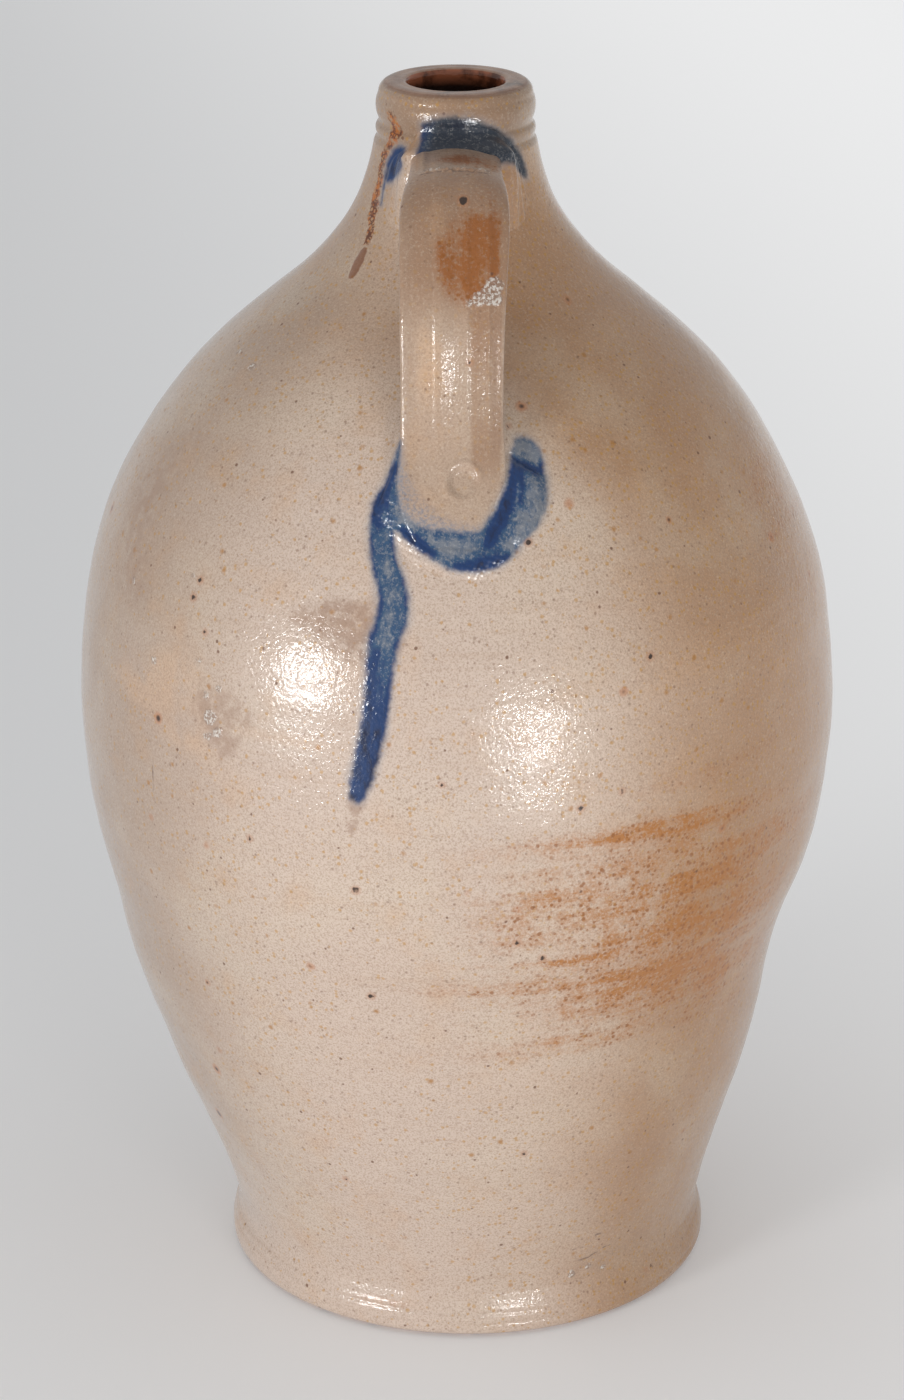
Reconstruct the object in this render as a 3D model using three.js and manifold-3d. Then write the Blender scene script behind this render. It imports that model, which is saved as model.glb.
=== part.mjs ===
// An ovoid salt-glazed stoneware jug of about two gallons, in millimetres, +Z up.
// The origin is on the ground under the middle of the belly, and the strap handle is on the -Y side.
// The jug was built up from separate pieces of clay: two thrown sections luted together at the
// belly, a rolled collar at the mouth, and a pulled strap with a lute of soft clay at each end.
// Pieces that were pressed together are modelled with a hairline gap between them.
import * as THREE from "three";
import { mergeVertices } from "three/addons/utils/BufferGeometryUtils.js";
import Module from "manifold-3d";

// Driving dimensions.
const HEIGHT = 380; // ground to the flat top of the lip
const WALL = 8.5; // thrown wall, measured square to the surface
const FLOOR = 10; // thickness of the base
const FLOOR_CORNER = 6; // radius inside, where the floor turns up into the wall
const SEAM_Z = 220; // the lute between the two thrown sections
const SEAM_TONGUE = 3; // height of the ridge that keys the sections together
const NECK_TOP = 362; // where the collar sits on the neck
const SPIGOT = { radius: 18.2, height: 4 }; // the neck stands up inside the collar by this much
const MOUTH_RADIUS = 14.2; // bore of the neck
const GAP = 0.3; // between neighbouring pieces
const STRAP = { width: 31, thickness: 10, centreX: -1.1 };
const ROUND_STEPS = 48; // facets round the jug

// Outer radius of the body at each height: flared foot, cove, ovoid belly, shoulder and neck.
const OUTER = [
  [0, 74.6], [2.5, 76.3], [7, 76.3], [15, 74.4], [24, 76], [44, 82.2], [76, 93.5], [122, 105.2],
  [152, 113.3], [186, 116.7], [220, 114], [240, 109.4], [258, 102.2], [274, 93.4], [289, 82.6],
  [300, 72.3], [312, 59], [323, 45.9], [334, 36], [344, 29.7], [353, 26.4], [362, 24.3],
];

// The jug was knocked a little out of true: sideways offset of its centre at each height.
const LEAN = [
  [0, 3.4], [24, 3.2], [44, 2.1], [76, 0.5], [110, -1.9], [146, -0.1], [186, 0], [220, -0.2], [258, -1],
  [300, -0.7], [380, -0.6],
];

/** A smooth function through [position, value] pairs: cubic Hermite, slopes from the neighbours. */
function smooth(pairs) {
  const slopes = pairs.map((pair, i) => {
    const before = pairs[Math.max(i - 1, 0)];
    const after = pairs[Math.min(i + 1, pairs.length - 1)];
    return (after[1] - before[1]) / (after[0] - before[0]);
  });
  return (at) => {
    const position = THREE.MathUtils.clamp(at, pairs[0][0], pairs[pairs.length - 1][0]);
    const next = Math.max(1, pairs.findIndex((pair) => pair[0] >= position));
    const [[x0, y0], [x1, y1]] = [pairs[next - 1], pairs[next]];
    const span = x1 - x0;
    const t = (position - x0) / span;
    const [t2, t3] = [t * t, t * t * t];
    return (
      (2 * t3 - 3 * t2 + 1) * y0 + (t3 - 2 * t2 + t) * span * slopes[next - 1] +
      (3 * t2 - 2 * t3) * y1 + (t3 - t2) * span * slopes[next]
    );
  };
}

const outerRadius = smooth(OUTER);
const lean = smooth(LEAN);

/** The (radius, height) point that lies inset millimetres inside the outer wall at height z. */
function wallPoint(z, inset = 0) {
  const step = 0.5;
  const slope = (outerRadius(z + step) - outerRadius(z - step)) / (2 * step);
  const scale = inset / Math.hypot(1, slope);
  return new THREE.Vector2(outerRadius(z) - scale, z + scale * slope);
}

/** Wall points from one height to another, in equal steps. */
function wallRun(from, to, steps, inset = 0) {
  return Array.from({ length: steps + 1 }, (_, i) =>
    wallPoint(from + ((to - from) * i) / steps, inset),
  );
}

/** Points of a quarter circle from one angle to another, in degrees, about a centre. */
function arc(centreRadius, centreZ, radius, fromDegrees, toDegrees, steps) {
  return Array.from({ length: steps + 1 }, (_, i) => {
    const angle = THREE.MathUtils.degToRad(
      fromDegrees + ((toDegrees - fromDegrees) * i) / steps,
    );
    return new THREE.Vector2(
      centreRadius + radius * Math.cos(angle),
      centreZ + radius * Math.sin(angle),
    );
  });
}

/** Keeps only the positions and joins the vertices that coincide. */
function welded(geometry) {
  geometry.deleteAttribute("normal");
  geometry.deleteAttribute("uv");
  return mergeVertices(geometry, 1e-4);
}

/** A body of revolution about +Z from a closed outline of (radius, height), with the lean added. */
function turned(outline) {
  const geometry = new THREE.LatheGeometry([...outline, outline[0]], ROUND_STEPS);
  geometry.rotateX(Math.PI / 2);
  const position = geometry.getAttribute("position");
  for (let i = 0; i < position.count; i += 1) {
    position.setX(i, position.getX(i) + lean(position.getZ(i)));
  }
  return welded(geometry);
}

/** A closed skin over rings of the same number of points, with a flat cap at each end. */
function lofted(rings) {
  const size = rings[0].length;
  const positions = rings.flat().flatMap((point) => point.toArray());
  const faces = [];
  rings.slice(1).forEach((_, ring) => {
    for (let i = 0; i < size; i += 1) {
      const [a, b] = [ring * size + i, ring * size + ((i + 1) % size)];
      faces.push(a, b, a + size, b, b + size, a + size);
    }
  });
  const last = (rings.length - 1) * size;
  for (let i = 1; i < size - 1; i += 1) {
    faces.push(0, i + 1, i, last, last + i, last + i + 1);
  }
  const geometry = new THREE.BufferGeometry();
  geometry.setAttribute("position", new THREE.Float32BufferAttribute(positions, 3));
  geometry.setIndex(faces);
  return mergeVertices(geometry, 1e-4);
}

const wasm = await Module();
wasm.setup();

/** A geometry as a manifold-3d solid, whichever way round its faces were made. */
function solidOf(geometry) {
  const vertProperties = new Float32Array(geometry.getAttribute("position").array);
  const triVerts = new Uint32Array(geometry.index.array);
  const build = () => new wasm.Manifold(new wasm.Mesh({ numProp: 3, vertProperties, triVerts }));
  const solid = build();
  if (solid.volume() > 0) return solid;
  for (let i = 0; i < triVerts.length; i += 3) {
    [triVerts[i + 1], triVerts[i + 2]] = [triVerts[i + 2], triVerts[i + 1]];
  }
  return build();
}

/** A manifold-3d solid as an indexed three.js geometry. */
function geometryOf(solid) {
  const { vertProperties, triVerts } = solid.getMesh();
  const geometry = new THREE.BufferGeometry();
  geometry.setAttribute("position", new THREE.BufferAttribute(vertProperties, 3));
  geometry.setIndex(new THREE.BufferAttribute(triVerts, 1));
  geometry.computeVertexNormals();
  return geometry;
}

/** The three points across the wall at a lute: outer edge, keying ridge, inner edge. */
function luteFace(z) {
  const ridge = wallPoint(z, WALL / 2);
  ridge.y += SEAM_TONGUE;
  return [wallPoint(z), ridge, wallPoint(z, WALL)];
}

/** Foot, floor and wall up to the lute at the belly. */
function lowerSection() {
  const footHeights = [0, 1, 2.5, 5, 8, 12, 16, 20];
  const cornerZ = FLOOR + FLOOR_CORNER;
  const insideCorner = wallPoint(cornerZ, WALL).x - FLOOR_CORNER;
  const outline = [
    new THREE.Vector2(0, 0),
    ...footHeights.map((z) => wallPoint(z)),
    ...wallRun(28, SEAM_Z, 15).slice(0, -1),
    ...luteFace(SEAM_Z),
    ...wallRun(SEAM_Z, 26, 12, WALL).slice(1),
    ...arc(insideCorner, cornerZ, FLOOR_CORNER, 0, -90, 3),
    new THREE.Vector2(0, FLOOR),
  ];
  return solidOf(turned(outline));
}

/** Shoulder and neck, from the lute at the belly to the seat of the collar. */
function upperSection() {
  const neckInside = 354; // below this the bore opens out along the shoulder
  const outline = [
    ...luteFace(SEAM_Z + GAP).reverse(),
    ...wallRun(SEAM_Z + GAP, NECK_TOP, 19).slice(1),
    new THREE.Vector2(SPIGOT.radius, NECK_TOP),
    new THREE.Vector2(SPIGOT.radius, NECK_TOP + SPIGOT.height),
    new THREE.Vector2(MOUTH_RADIUS, NECK_TOP + SPIGOT.height),
    new THREE.Vector2(MOUTH_RADIUS, neckInside),
    ...wallRun(346, SEAM_Z + GAP, 13, WALL).slice(0, -1),
  ];
  return solidOf(turned(outline));
}

// The rolled collar's outside, from its foot up: flare, groove, bead, notch, lip and rounded edge.
const COLLAR_OUTSIDE = [
  [23.8, NECK_TOP + GAP], [22.9, 364.2], [23.7, 365.2], [23.7, 366.9], [22.7, 368.2], [23.4, 370.6],
  [23.7, 373], [23.4, 375.4], [22.6, 377.6], [21.3, 379.3], [19.6, HEIGHT],
];

/** The rolled collar, rebated underneath so that it sits over the neck's spigot. */
function collar() {
  const edge = 1.2; // rounding where the flat top turns down into the mouth
  const rebate = SPIGOT.radius + GAP;
  const spigotTop = NECK_TOP + SPIGOT.height + GAP;
  const outline = [
    new THREE.Vector2(rebate, NECK_TOP + GAP),
    ...COLLAR_OUTSIDE.map(([radius, z]) => new THREE.Vector2(radius, z)),
    ...arc(MOUTH_RADIUS + edge, HEIGHT - edge, edge, 90, 180, 2),
    new THREE.Vector2(MOUTH_RADIUS, spigotTop),
    new THREE.Vector2(rebate, spigotTop),
  ];
  return solidOf(turned(outline));
}

/** Everything inside the jug's outer surface, plus a hairline: what the handle's pieces clear. */
function clearance() {
  const collarFrom = COLLAR_OUTSIDE.slice(1);
  const outline = [
    new THREE.Vector2(0, 200),
    ...wallRun(200, NECK_TOP, 24, -GAP),
    ...collarFrom.map(([radius, z]) => new THREE.Vector2(radius + GAP, z)),
    new THREE.Vector2(0, HEIGHT),
  ];
  return solidOf(turned(outline));
}

// Middle line of the strap in the plane of the handle, as (Y, Z), from the neck to the shoulder.
const STRAP_LINE = [
  [-17, 359.6], [-27.3, 360.4], [-38.1, 360.9], [-47.2, 360.3], [-54.8, 357.8], [-61.5, 353.1],
  [-67.8, 345.3], [-72.4, 336.1], [-75.5, 326.8], [-77.4, 316.2], [-79.1, 305.2], [-81.6, 293.8],
  [-86, 283.2], [-91, 274.1], [-96.2, 265.6],
];

// Width and thickness of the strap at each fraction of its length.
const STRAP_WIDTH = smooth([
  [0, 27], [0.2, 28], [0.3, 30.4], [0.4, STRAP.width], [0.55, 30], [0.78, 29.4], [0.9, 28], [1, 18],
]);
const STRAP_THICKNESS = smooth([[0, 12], [0.2, 10.6], [0.4, STRAP.thickness], [0.75, 9], [1, 6.4]]);

/** The pulled strap, from inside the neck to its flattened end on the shoulder. */
function strap(grow = 0) {
  const line = new THREE.CatmullRomCurve3(
    STRAP_LINE.map(([y, z]) => new THREE.Vector3(STRAP.centreX, y, z)),
  );
  const stations = 26;
  const sectionPoints = 14;
  const squareness = 0.62; // 1 is an ellipse, smaller is nearer to a rectangle
  const rings = Array.from({ length: stations + 1 }, (_, station) => {
    const along = station / stations;
    const tangent = line.getTangentAt(along);
    const outward = new THREE.Vector3(1, 0, 0).cross(tangent);
    const centre = line.getPointAt(along);
    if (station === stations) centre.addScaledVector(tangent, grow);
    const halfWidth = STRAP_WIDTH(along) / 2 + grow;
    const halfThickness = STRAP_THICKNESS(along) / 2 + grow;
    return Array.from({ length: sectionPoints }, (_, i) => {
      const angle = (2 * Math.PI * i) / sectionPoints;
      const [c, s] = [Math.cos(angle), Math.sin(angle)];
      return centre
        .clone()
        .add(new THREE.Vector3(halfWidth * Math.sign(c) * Math.abs(c) ** squareness, 0, 0))
        .addScaledVector(outward, halfThickness * Math.sign(s) * Math.abs(s) ** squareness);
    });
  });
  return solidOf(lofted(rings));
}

/**
 * Soft clay smeared on the jug round the handle: a patch between two angles from the handle's
 * plane, whose lower edge, upper edge and thickness follow the angle.
 */
function patch({ fromDegrees, toDegrees, steps, lowerEdge, upperEdge, thickness }) {
  const across = 5; // points between the lower and the upper edge
  const depth = 3; // how far the patch reaches into the wall before it is cut back
  const rings = Array.from({ length: steps + 1 }, (_, step) => {
    const degrees = fromDegrees + ((toDegrees - fromDegrees) * step) / steps;
    const angle = THREE.MathUtils.degToRad(degrees);
    const [low, high] = [lowerEdge(degrees), upperEdge(degrees)];
    const place = (fraction, proud) => {
      const z = low + (high - low) * fraction;
      const point = wallPoint(z, -proud);
      return new THREE.Vector3(
        lean(z) + point.x * Math.sin(angle),
        -point.x * Math.cos(angle),
        point.y,
      );
    };
    const outside = Array.from({ length: across }, (_, i) => {
      const fraction = i / (across - 1);
      const crown = 0.45 + 0.55 * Math.sin(Math.PI * fraction);
      return place(fraction, thickness(degrees) * crown);
    });
    return [...outside, place(1, -depth), place(0.5, -depth), place(0, -depth)];
  });
  return solidOf(lofted(rings));
}

/** The clay that swells out round the root of the strap and wraps the neck. */
function upperLute() {
  const reach = 56;
  return patch({
    fromDegrees: -reach,
    toDegrees: reach,
    steps: 16,
    lowerEdge: smooth([[-reach, 354], [-30, 347], [0, 344], [30, 347], [reach, 354]]),
    upperEdge: () => NECK_TOP - 0.5,
    thickness: smooth([[-reach, 0.9], [-38, 3.2], [0, 4.6], [38, 3.2], [reach, 0.9]]),
  });
}

/** The thumbed pad round the strap's lower end, with a smeared ear on its right side. */
function lowerLute() {
  return patch({
    fromDegrees: -13,
    toDegrees: 18,
    steps: 16,
    lowerEdge: smooth([[-13, 279], [-8, 263], [0, 258.5], [8, 261], [14, 268], [18, 278]]),
    upperEdge: smooth([[-13, 290], [-8, 297], [0, 299], [8, 297], [14, 293], [18, 286]]),
    thickness: smooth([[-13, 0.9], [-8, 2], [0, 1.8], [9, 2.2], [14, 2], [18, 0.9]]),
  });
}

// Finishes: orange-grey salt glaze, the browner collar, and the cobalt brushed over the lutes.
const glaze = { color: 0xbda992, roughness: 0.42, metalness: 0 };
const collarGlaze = { color: 0xa08870, roughness: 0.5, metalness: 0 };
const cobaltGlaze = { color: 0x3d4f6e, roughness: 0.35, metalness: 0 };

const jug = new THREE.Group();

/** Adds one named piece to the jug. */
function addPiece(name, solid, finish) {
  const mesh = new THREE.Mesh(geometryOf(solid), new THREE.MeshStandardMaterial(finish));
  mesh.name = name;
  jug.add(mesh);
}

const clearOfJug = clearance();
const clearOfStrap = strap(GAP);
addPiece("lower_body", lowerSection(), glaze);
addPiece("upper_body", upperSection(), glaze);
addPiece("mouth_collar", collar(), collarGlaze);
addPiece("handle_strap", strap().subtract(clearOfJug), glaze);
addPiece("handle_upper_lute", upperLute().subtract(clearOfJug).subtract(clearOfStrap), cobaltGlaze);
addPiece("handle_lower_lute", lowerLute().subtract(clearOfJug).subtract(clearOfStrap), cobaltGlaze);

export default jug;
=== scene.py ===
"""The looks of an ovoid salt-glazed stoneware jug with a pulled strap handle.

Shapes are laid out in millimetres in the jug's own frame and scaled to metres when a mesh is made.
A place on the jug is (angle, height): degrees round from the handle, positive to the right when
facing it, and millimetres above the ground. A place on the strap is (across, height), where across
is millimetres to the right of the strap's middle line.
"""

import math

import bmesh
import bpy
import numpy as np
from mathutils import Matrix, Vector


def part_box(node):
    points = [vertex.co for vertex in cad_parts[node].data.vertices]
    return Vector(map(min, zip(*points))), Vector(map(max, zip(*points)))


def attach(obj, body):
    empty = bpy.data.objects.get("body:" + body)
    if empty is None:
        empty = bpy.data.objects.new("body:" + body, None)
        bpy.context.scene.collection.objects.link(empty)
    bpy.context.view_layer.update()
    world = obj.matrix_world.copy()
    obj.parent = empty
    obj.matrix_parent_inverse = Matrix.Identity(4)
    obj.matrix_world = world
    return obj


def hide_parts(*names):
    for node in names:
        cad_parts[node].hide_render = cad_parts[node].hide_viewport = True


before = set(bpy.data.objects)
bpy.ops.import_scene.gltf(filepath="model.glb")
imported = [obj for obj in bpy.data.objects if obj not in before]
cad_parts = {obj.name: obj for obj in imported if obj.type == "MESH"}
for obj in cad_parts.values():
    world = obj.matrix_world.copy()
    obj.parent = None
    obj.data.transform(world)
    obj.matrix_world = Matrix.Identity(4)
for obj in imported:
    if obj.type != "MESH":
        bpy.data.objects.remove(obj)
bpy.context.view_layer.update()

MM = 0.001

# ---- sizes from the frame


def node_box(node):
    """Lowest and highest corners of a CAD node, in millimetres."""
    low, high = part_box(node)
    return np.array(low) / MM, np.array(high) / MM


HEIGHT = node_box("mouth_collar")[1][2]
BELLY_RADIUS = node_box("lower_body")[1][1]
SEAM = 220.0 / 380.0 * HEIGHT  # the lute between the two thrown sections
NECK_TOP = 362.0 / 380.0 * HEIGHT  # where the collar sits on the neck
WALL = 8.5
FLOOR = 10.0
MOUTH_RADIUS = 14.2
STRAP_CENTRE = -1.1  # the strap's middle line is this far to the left of the axis


# ---- smooth outlines


def smooth(pairs):
    """A smooth function of an array through (position, value) pairs: cubic Hermite."""
    x, y = np.array(pairs, float).T
    slopes = np.empty_like(y)
    slopes[1:-1] = (y[2:] - y[:-2]) / (x[2:] - x[:-2])
    slopes[0] = (y[1] - y[0]) / (x[1] - x[0])
    slopes[-1] = (y[-1] - y[-2]) / (x[-1] - x[-2])

    def value(at):
        at = np.clip(np.asarray(at, float), x[0], x[-1])
        i = np.clip(np.searchsorted(x, at) - 1, 0, len(x) - 2)
        span = x[i + 1] - x[i]
        t = (at - x[i]) / span
        return (
            (2 * t**3 - 3 * t**2 + 1) * y[i]
            + (t**3 - 2 * t**2 + t) * span * slopes[i]
            + (3 * t**2 - 2 * t**3) * y[i + 1]
            + (t**3 - t**2) * span * slopes[i + 1]
        )

    return value


# Outer radius of the body at each height: flared foot, cove, ovoid belly, shoulder and neck.
OUTER = [
    (0, 74.6), (2.5, 76.3), (7, 76.3), (15, 74.4), (24, 76), (44, 82.2), (76, 93.5),
    (122, 105.2), (152, 113.3), (186, 116.7), (220, 114), (240, 109.4), (258, 102.2),
    (274, 93.4), (289, 82.6), (300, 72.3), (312, 59), (323, 45.9), (334, 36),
    (344, 29.7), (353, 26.4), (362, 24.3), (370, 23.2),
]  # fmt: skip

# Sideways offset of the jug's centre at each height: it dried a little out of true.
LEAN = [
    (0, 3.4), (24, 3.2), (44, 2.1), (76, 0.5), (110, -1.9), (146, -0.1), (186, 0),
    (220, -0.2), (258, -1), (300, -0.7), (380, -0.6),
]  # fmt: skip

outer_radius = smooth([(z, r * BELLY_RADIUS / 116.6) for z, r in OUTER])
lean = smooth(LEAN)


def wall_slope(z):
    """How fast the outer radius grows with height."""
    return outer_radius(np.asarray(z) + 0.5) - outer_radius(np.asarray(z) - 0.5)


def on_jug(angle, z, proud=0.0):
    """Points that stand proud millimetres off the jug's nominal surface, as an (N, 3) array."""
    angle, z, proud = np.broadcast_arrays(np.radians(angle), np.asarray(z, float), proud)
    slope = wall_slope(z)
    length = np.hypot(1, slope)
    radius = outer_radius(z) + proud / length
    x = lean(z) + radius * np.sin(angle)
    return np.stack([x, -radius * np.cos(angle), z - proud * slope / length], axis=-1)


def place_of(points):
    """The (angle, height) of points, in degrees and millimetres."""
    x, y, z = points.T
    return np.degrees(np.arctan2(x - lean(z), -y)), z


def soft_step(value, low, high):
    """0 below low and 1 above high, with a smooth rise between them."""
    t = np.clip((np.asarray(value, float) - low) / (high - low), 0, 1)
    return t * t * (3 - 2 * t)


def bell(value, width):
    """A bell curve of height 1 about zero."""
    return np.exp(-((np.asarray(value, float) / width) ** 2))


# ---- marks laid on a surface


def deepest(depths):
    """The greatest of several depths at every point."""
    return np.maximum.reduce(list(depths))


class Surface:
    """Where a mesh's points lie for painting: two coordinates and the millimetres each is worth."""

    def __init__(self, first, second, first_scale, second_scale):
        self.first, self.second = first, second
        self.first_scale, self.second_scale = first_scale, second_scale

    def measured_from(self, first, second):
        """Millimetres from one place to every point, along both coordinates."""
        return (
            (self.first - first) * self.first_scale,
            (self.second - second) * self.second_scale,
        )

    def segments(self, path):
        """For each leg of a path: distance of every point from it, and how far along it is."""
        for start, end in zip(path[:-1], path[1:]):
            ax, ay = self.measured_from(start[0], start[1])
            bx, by = self.measured_from(end[0], end[1])
            dx, dy = ax - bx, ay - by
            along = np.clip((ax * dx + ay * dy) / np.maximum(dx * dx + dy * dy, 1e-9), 0, 1)
            yield np.hypot(ax - along * dx, ay - along * dy), along, start, end

    def stroke(self, path):
        """Depth inside a brush stroke, negative outside it. A path point ends in its half width."""
        depth = np.full(len(self.first), -1e3)
        for distance, along, start, end in self.segments(path):
            half_width = start[2] + (end[2] - start[2]) * along
            depth = np.maximum(depth, half_width - distance)
        return depth

    def outline(self, corners, rounds=2):
        """Depth inside a closed outline, negative outside it, after its corners are rounded."""
        ring = np.array(corners, float)
        for _ in range(rounds):
            following = np.roll(ring, -1, axis=0)
            cut = [0.75 * ring + 0.25 * following, 0.25 * ring + 0.75 * following]
            ring = np.stack(cut, axis=1).reshape(-1, 2)
        closed = np.vstack([ring, ring[:1]])
        distance = np.full(len(self.first), 1e3)
        inside = np.zeros(len(self.first), bool)
        for gap, _, start, end in self.segments(closed):
            distance = np.minimum(distance, gap)
            crosses = (start[1] > self.second) != (end[1] > self.second)
            rise = end[1] - start[1] if end[1] != start[1] else 1e-9
            edge = start[0] + (self.second - start[1]) * (end[0] - start[0]) / rise
            inside ^= crosses & (self.first < edge)
        return np.where(inside, distance, -distance)

    def spot(self, first, second, radius):
        """Depth inside a round spot, negative outside it."""
        return radius - np.hypot(*self.measured_from(first, second))

    def strokes(self, paths):
        """Depth inside the nearest of several brush strokes."""
        return deepest(self.stroke(path) for path in paths)

    def spots(self, spots):
        """Depth inside the nearest of several round spots."""
        return deepest(self.spot(*spot) for spot in spots)

    def cloud(self, first, second, first_size, second_size):
        """A soft blot, 1 in the middle, whose sizes are in the surface's own coordinates."""
        return np.exp(
            -(((self.first - first) / first_size) ** 2)
            - ((self.second - second) / second_size) ** 2
        )


def jug_surface(points):
    """The painting surface of anything on the jug's wall."""
    angle, z = place_of(points)
    per_degree = np.radians(1) * np.maximum(np.hypot(points[:, 0] - lean(z), points[:, 1]), 1)
    steepness = np.where(z < NECK_TOP - 2, np.hypot(1, wall_slope(z)), 1)
    return Surface(angle, z, per_degree, steepness)


# Cobalt brushed over the strap's root, across the collar's bead and the top of the neck.
COBALT_CRESCENT = [
    (-20.5, 362.8), (-22.5, 365.6), (-25.6, 369.4), (-25, 371.8), (-20, 373.2), (-10, 374),
    (2, 374.3), (13, 373.5), (24, 371.6), (33, 369.2), (43, 366.4), (50, 362.8), (54.5, 358.2),
    (55.4, 353.6), (51, 354.4), (45, 356), (40, 358), (35, 360.2), (30, 361.6), (20, 361.5),
    (0, 361.5), (-15, 362),
]  # fmt: skip
COBALT_LEFT_BLOT = [
    (-54.5, 354.4), (-53.4, 359.6), (-48, 363.6), (-40, 364.2), (-31, 362.4), (-30, 359),
    (-38, 356), (-48, 352.6),
]  # fmt: skip
COBALT_LEFT_LINE = [(-53, 356, 0.7), (-51, 351, 0.45), (-50, 347, 0.1)]

# Cobalt round the strap's lower end: a horseshoe whose right arm covers the smeared ear.
COBALT_POOL = [
    (-10.6, 297), (-11.8, 290), (-12.8, 284.5), (-14.6, 279.5), (-15.2, 275.5), (-11.8, 272.6),
    (-9.4, 271.2), (-7.2, 268.4), (-4.4, 265.6), (-1, 262.6), (2.6, 261.5), (5.6, 261.9),
    (8, 263.2), (10, 265.8), (12.2, 269.4), (15.2, 273.5), (16.8, 278), (17.5, 284), (17.6, 288.5),
    (16.6, 292.6), (14, 294), (11.4, 293), (10.4, 289), (9.6, 284.6), (7.9, 280), (5.9, 275.4),
    (4, 271.6), (0.6, 272.3), (-3, 272.6), (-6.4, 273.8), (-9, 276.6), (-10.2, 280.5),
    (-10.6, 285.5), (-10.2, 291),
]  # fmt: skip
COBALT_RUN = [
    (-13.2, 277, 2.8), (-12.6, 271.5, 3.7), (-11.8, 265, 3.9), (-10.4, 259.5, 4.1),
    (-9.5, 254, 4.4), (-9.6, 249, 4.6), (-10.7, 243.5, 4.4), (-11.2, 236, 4.1), (-11.5, 228, 3.9),
    (-12, 219.5, 3.8), (-12.9, 210.5, 3.7), (-13.8, 202.5, 3.3), (-14.3, 198.6, 2.4),
]  # fmt: skip
COBALT_RUN_TAIL = [(-14.4, 197, 2.6), (-14.9, 191, 1.9), (-15.2, 186, 0.8)]

# A thin speckled wash over the lower left of the strap's end and along its lower edge.
COBALT_WASH = [
    (-10.2, 289, 1), (-9.8, 283.5, 3), (-8.6, 278.5, 4.6), (-5, 274, 4), (0, 272, 2.6), (4, 271.5, 2),
]  # fmt: skip

# Where the cobalt lies thick: in the creases, at the pool's lower rim and at the run's tip.
COBALT_HEAVY = [
    [(-8.6, 272, 0.9), (-7, 270, 1.8), (-5.2, 267.8, 1.8), (-3.8, 266.4, 0.8)],
    [(0.8, 263.2, 0.8), (3.6, 263.4, 1.7), (6, 263.8, 1.7), (8.4, 265.2, 0.7)],
    [(11.2, 289, 0.5), (10.8, 284, 1.1), (9.4, 279, 1.5), (7.4, 274, 1.8), (5.8, 269.5, 1.2)],
    [(12.2, 287, 0.5), (12.4, 282.5, 0.9), (11.6, 279.5, 0.4)],
    [(10.4, 290, 0.4), (13.2, 287.6, 0.8), (16.6, 285.4, 0.8), (17.4, 287, 0.8)],
    [(-11.4, 288, 0.6), (-12.6, 282, 1.1), (-14, 277.6, 1.6), (-13, 273, 1.2)],
    [(-21.4, 363.4, 0.9), (-24, 368, 1.1), (-24, 371, 1), (-18, 372.4, 0.7)],
    [(-52, 356.4, 2.8), (-46, 359, 3.2), (-38, 361, 2.2)],
    [(-12.2, 217, 1.2), (-13, 209, 2.6), (-13.8, 202, 3.4), (-14.4, 198.6, 2.8)],
    [(-11.8, 240, 0.4), (-12.6, 228, 0.9), (-13, 219, 0.6)],
]
COBALT_THIN = [  # bare or nearly bare islands within the brushwork
    [(9, 268.6, 0.4), (12.4, 272, 2.2), (14.2, 277.5, 2.9), (14, 282, 2.1)],
    [(13.4, 291.4, 1.5), (15.6, 288.8, 1.2)],
    [(-4, 269.6, 0.3), (-0.5, 267.5, 1.8), (2.5, 268, 1.2)],
    [(-8.8, 279, 0.4), (-8.4, 276, 1.6), (-7, 273.4, 1.2)],
    [(-26, 366.5, 0.7), (-22, 367.6, 1.1)],
]

# An iron run down the left of the neck, which ends in a dark bead on the shoulder.
IRON_RUN = [
    (-56, 373, 1), (-50, 370, 1.8), (-47.5, 367.6, 2), (-54, 364, 1.5), (-58, 361, 1.2),
    (-59.5, 357, 1.3), (-58.2, 353, 1.5), (-57, 348, 1.7), (-55.5, 343.5, 1.5), (-51.5, 340.5, 1.3),
    (-49.2, 336.5, 1.2),
]  # fmt: skip
IRON_BEAD = [(-48.6, 334.4, 1.2), (-48.2, 331.4, 1.9), (-47.5, 328.2, 1.4)]

# Orange kiln blush: (angle, height, angle size, height size, strength).
BLUSH = [
    (10, 181.5, 9, 2.2, 0.45), (22, 183, 13, 2.6, 0.6), (32, 183.5, 12, 3.2, 0.6),
    (44, 181, 11, 3.4, 0.45), (36, 197, 24, 8, 0.26), (14, 158, 12, 5, 0.3),
    (25, 165, 14, 2.8, 0.75), (42, 163, 13, 4, 0.8), (56, 168, 11, 5, 0.45),
    (32, 172, 26, 10, 0.42),
    (26, 144, 22, 3, 0.6), (42, 151, 18, 4.4, 0.5), (24, 133, 24, 4, 0.55),
    (34, 122, 24, 7, 0.5), (20, 112, 20, 5, 0.4), (48, 138, 16, 18, 0.4),
    (58, 116, 18, 16, 0.35), (32, 146, 32, 26, 0.45),
    (26, 100, 18, 7, 0.2), (70, 262, 16, 26, 0.3), (96, 200, 26, 60, 0.4), (24, 250, 12, 12, 0.12),
    (150, 240, 40, 50, 0.45), (-150, 120, 40, 30, 0.35), (-20, 10, 6, 2, 0.5),
]  # fmt: skip

# Pale peach flushes on the left of the belly: (angle, height, angle size, height size, strength).
PEACH = [
    (-52, 214, 11, 7, 1), (-46, 225, 8, 6, 0.7), (-42, 204, 8, 4, 0.6), (-26, 212, 12, 3, 0.5),
    (-46, 236, 9, 5, 0.4), (40, 232, 22, 10, 0.4), (-34, 196, 12, 6, 0.4), (20, 216, 22, 6, 0.25),
]  # fmt: skip

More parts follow.
